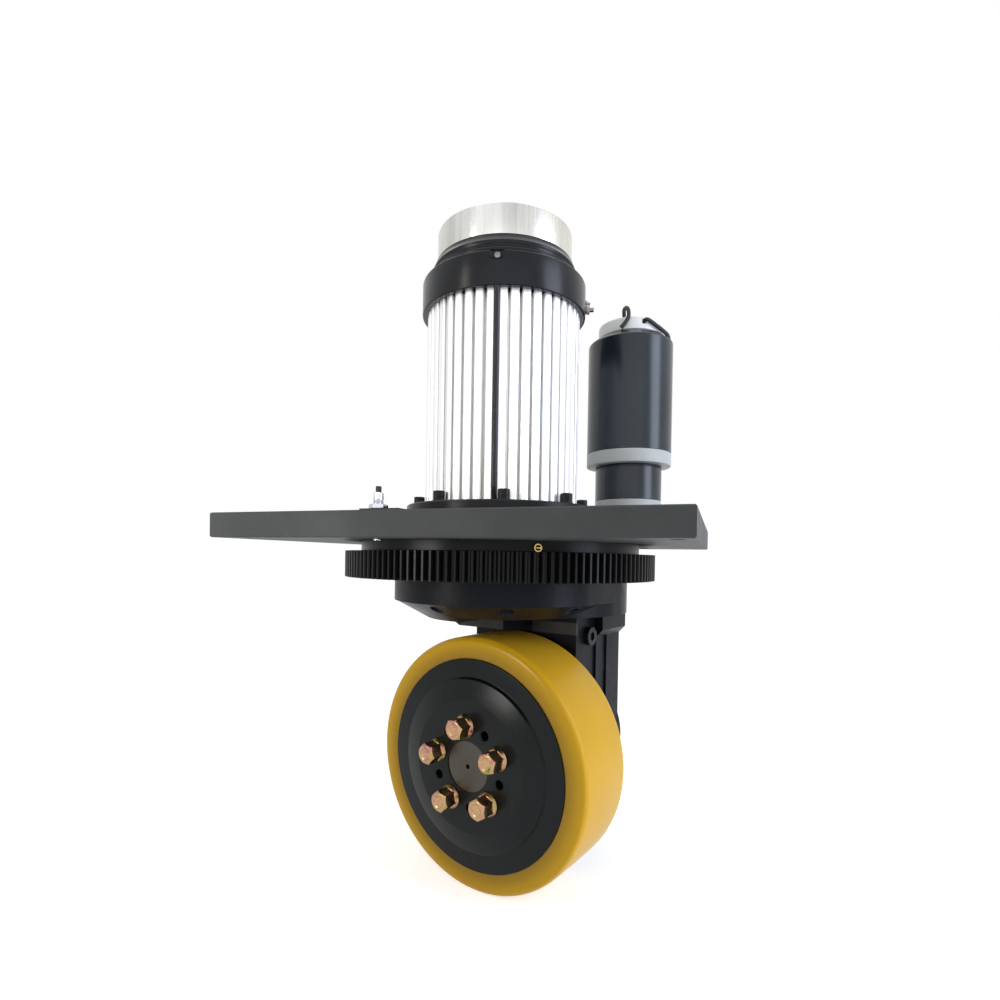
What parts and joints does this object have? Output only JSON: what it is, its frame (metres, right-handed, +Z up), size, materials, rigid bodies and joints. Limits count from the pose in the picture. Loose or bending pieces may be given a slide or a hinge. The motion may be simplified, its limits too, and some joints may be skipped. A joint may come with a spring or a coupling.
{
  "type": "agv drive wheel unit",
  "caption": "Steerable drive wheel unit: plate with vertical traction motor, steering motor, slewing ring and a gearbox leg carrying a wheel.",
  "frame": {"origin": "steering axis at the top face of the mounting plate, the centre of its four mounting holes", "axes": "+Z up along the steering axis, +X along the plate's long side towards the steering motor, +Y to the back"},
  "size_m": [0.372, 0.3296, 0.5992],
  "materials": {
    "plate_paint": "satin dark grey paint",
    "black_steel": "blackened steel, light oil film",
    "black_screws": "black oxide",
    "bearing_steel": "ground and polished",
    "brass": "bare brass",
    "flange_black": "satin black",
    "fin_aluminium": "bright extruded aluminium",
    "lamination": "stacked laminations",
    "copper_winding": "varnished copper",
    "rod_black": "black oxide",
    "bell_black": "smooth black coating",
    "stud_metal": "nickel plated",
    "brake_iron": "machined",
    "cap_steel": "brushed",
    "ring_grey": "light grey satin",
    "motor_paint": "gloss blue-grey paint",
    "magnet_dark": "ferrite",
    "cap_white": "satin",
    "lead_rubber": "soft black",
    "gear_steel": "hobbed and hardened",
    "sensor_nickel": "nickel plated brass",
    "housing_cast": "black painted casting",
    "seal_rubber": "nitrile",
    "tyre_polyurethane": "glossy cast polyurethane",
    "hub_black": "semi-gloss black",
    "yellow_zinc": "yellow passivated zinc",
    "axle_ground": "turned steel"
  },
  "bodies": {
    "root": {"mounting_plate": "plate_paint", "slewing_fixed_ring": "black_steel", "slewing_balls": "bearing_steel", "ring_screws": "black_screws", "grease_nipple": "brass", "motor_flange": "flange_black", "motor_frame": "fin_aluminium", "stator_core": "lamination", "stator_windings": "copper_winding", "tie_rods": "rod_black", "flange_screws": "black_screws", "motor_bearings": "bearing_steel", "end_bell": "bell_black", "terminal_studs": "stud_metal", "brake_housing": "bell_black", "brake_magnet": "brake_iron", "encoder_cap": "cap_steel", "reducer_base": "ring_grey", "reducer_shell": "motor_paint", "adapter_ring": "ring_grey", "steering_motor_shell": "motor_paint", "field_magnets": "magnet_dark", "brush_cap": "cap_white", "motor_leads": "lead_rubber", "reducer_screws": "black_screws", "steering_bearings": "bearing_steel", "planet_ring": "gear_steel", "sensor_bracket": "plate_paint", "home_sensor": "sensor_nickel", "sensor_nuts": "sensor_nickel"},
    "steered": {"ring_gear": "black_steel", "dust_seal": "seal_rubber", "gear_housing": "housing_cast", "oil_plug": "black_screws", "rear_cover": "housing_cast", "rear_cover_screws": "black_screws", "housing_screws": "black_screws", "countershaft_bearings": "bearing_steel", "axle_bearings": "bearing_steel", "axle_seal": "seal_rubber"},
    "wheel": {"tyre": "tyre_polyurethane", "wheel_hub": "hub_black", "wheel_bolts": "yellow_zinc", "axle_shaft": "axle_ground", "crown_gear": "gear_steel", "axle_nut": "gear_steel"},
    "countershaft": {"spur_gear": "gear_steel", "bevel_shaft": "gear_steel"},
    "rotor": {"rotor_shaft": "gear_steel", "rotor_core": "lamination", "brake_disc": "brake_iron"},
    "carrier": {"planet_carrier": "gear_steel", "steering_pinion": "gear_steel"},
    "planet_1": {"planet_gear_1": "gear_steel"},
    "planet_2": {"planet_gear_2": "gear_steel"},
    "planet_3": {"planet_gear_3": "gear_steel"},
    "armature": {"armature_shaft": "gear_steel", "armature_core": "lamination"}
  },
  "joints": [
    {"name": "steering", "type": "hinge", "parent": "root", "child": "steered", "pos_m": [0, 0, 0], "axis": [0, 0, 1], "range_deg": [-75, 105]},
    {"name": "steering_output", "type": "hinge", "parent": "root", "child": "carrier", "pos_m": [0.09982, 0.12504, 0], "axis": [0, 0, 1], "range_deg": [-738, 528]},
    {"name": "armature_spin", "type": "hinge", "parent": "root", "child": "armature", "pos_m": [0.09982, 0.12504, 0], "axis": [0, 0, 1], "range_deg": [-2943, 2103]},
    {"name": "planet_1_spin", "type": "hinge", "parent": "carrier", "child": "planet_1", "pos_m": [0.11482, 0.12504, 0], "axis": [0, 0, 1], "range_deg": [-1578, 2208]},
    {"name": "planet_2_spin", "type": "hinge", "parent": "carrier", "child": "planet_2", "pos_m": [0.09232, 0.13803, 0], "axis": [0, 0, 1], "range_deg": [-1578, 2208]},
    {"name": "planet_3_spin", "type": "hinge", "parent": "carrier", "child": "planet_3", "pos_m": [0.09232, 0.11205, 0], "axis": [0, 0, 1], "range_deg": [-1578, 2208]},
    {"name": "wheel_spin", "type": "hinge", "parent": "steered", "child": "wheel", "pos_m": [0, 0, -0.2192], "axis": [-0.2622, -0.965, 0], "continuous": true},
    {"name": "countershaft_spin", "type": "hinge", "parent": "steered", "child": "countershaft", "pos_m": [0.01829, 0.06731, 0], "axis": [0, 0, 1], "continuous": true},
    {"name": "rotor_spin", "type": "hinge", "parent": "steered", "child": "rotor", "pos_m": [0, 0, 0], "axis": [0, 0, 1], "continuous": true}
  ],
  "couplings": [
    {"joint": "steering_output", "follows": "steering", "ratio": -7},
    {"joint": "armature_spin", "follows": "steering", "ratio": -28},
    {"joint": "planet_1_spin", "follows": "steering", "ratio": 21},
    {"joint": "planet_2_spin", "follows": "steering", "ratio": 21},
    {"joint": "planet_3_spin", "follows": "steering", "ratio": 21},
    {"joint": "countershaft_spin", "follows": "wheel_spin", "ratio": 3.7273},
    {"joint": "rotor_spin", "follows": "wheel_spin", "ratio": -16.663}
  ]
}
